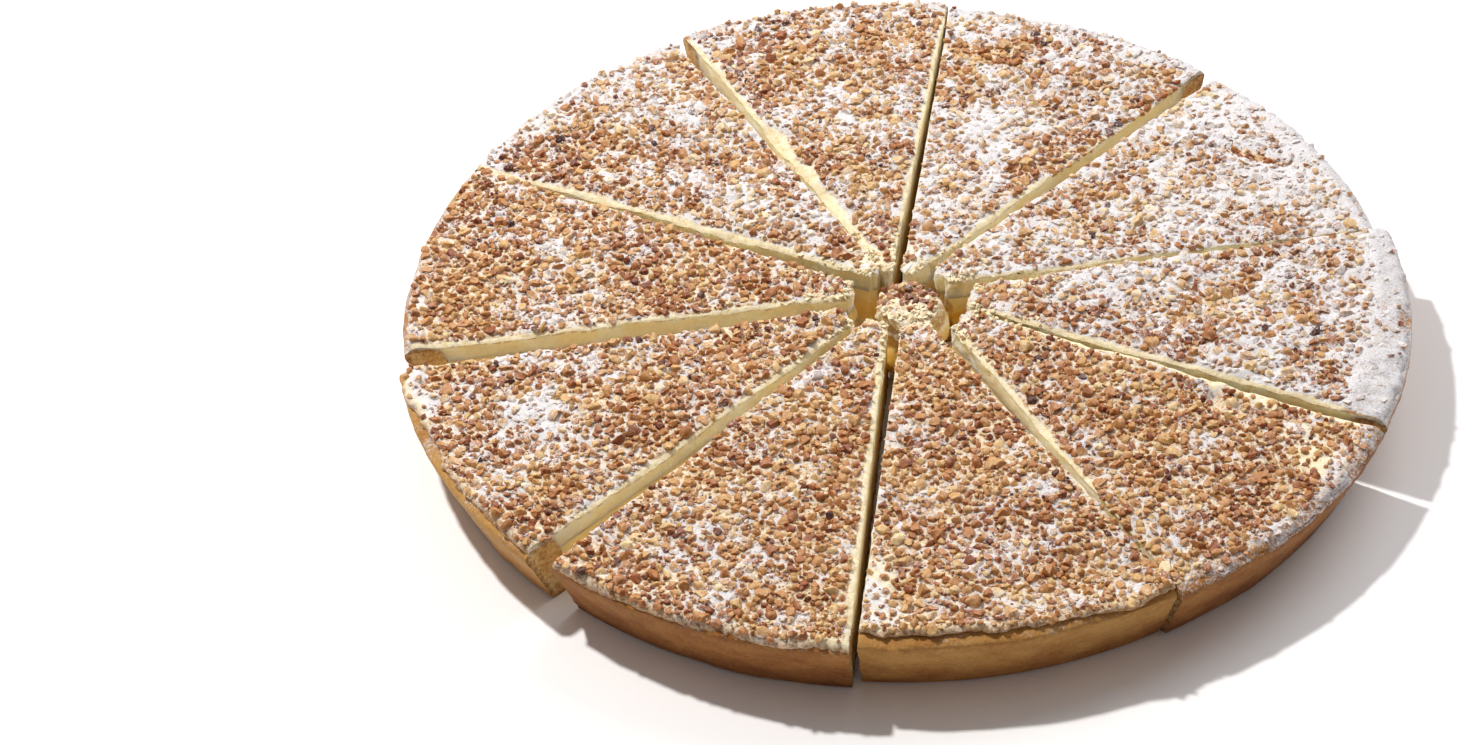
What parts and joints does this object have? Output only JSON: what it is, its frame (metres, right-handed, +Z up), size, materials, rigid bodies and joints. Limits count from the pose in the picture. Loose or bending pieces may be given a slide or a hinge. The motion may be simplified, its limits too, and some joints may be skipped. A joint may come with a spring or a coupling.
{
  "type": "cut nut-topped cream tart",
  "caption": "Round cream tart with a leaning pastry rim, cut right through into equal wedges that lie slightly apart, topped with chopped nuts.",
  "frame": {"origin": "under the middle of the tart's outer box, on the surface it stands on", "axes": "+Z up; the picture looks along +Y from above, with +X to its right"},
  "size_m": [0.2776, 0.278, 0.0253],
  "materials": {
    "crust": "matt baked pastry",
    "custard": "soft satin custard",
    "topping": "cream under chopped roasted nuts, dusted with sugar"
  },
  "bodies": {
    "root": {"middle_cream": "topping", "middle_crust": "crust", "middle_custard": "custard", "slice01_cream": "topping", "slice01_crust": "crust", "slice01_custard": "custard", "slice02_cream": "topping", "slice02_crust": "crust", "slice02_custard": "custard", "slice03_cream": "topping", "slice03_crust": "crust", "slice03_custard": "custard", "slice04_cream": "topping", "slice04_crust": "crust", "slice04_custard": "custard", "slice05_cream": "topping", "slice05_crust": "crust", "slice05_custard": "custard", "slice06_cream": "topping", "slice06_crust": "crust", "slice06_custard": "custard", "slice07_cream": "topping", "slice07_crust": "crust", "slice07_custard": "custard", "slice08_cream": "topping", "slice08_crust": "crust", "slice08_custard": "custard", "slice09_cream": "topping", "slice09_crust": "crust", "slice09_custard": "custard", "slice10_cream": "topping", "slice10_crust": "crust", "slice10_custard": "custard"}
  },
  "joints": []
}
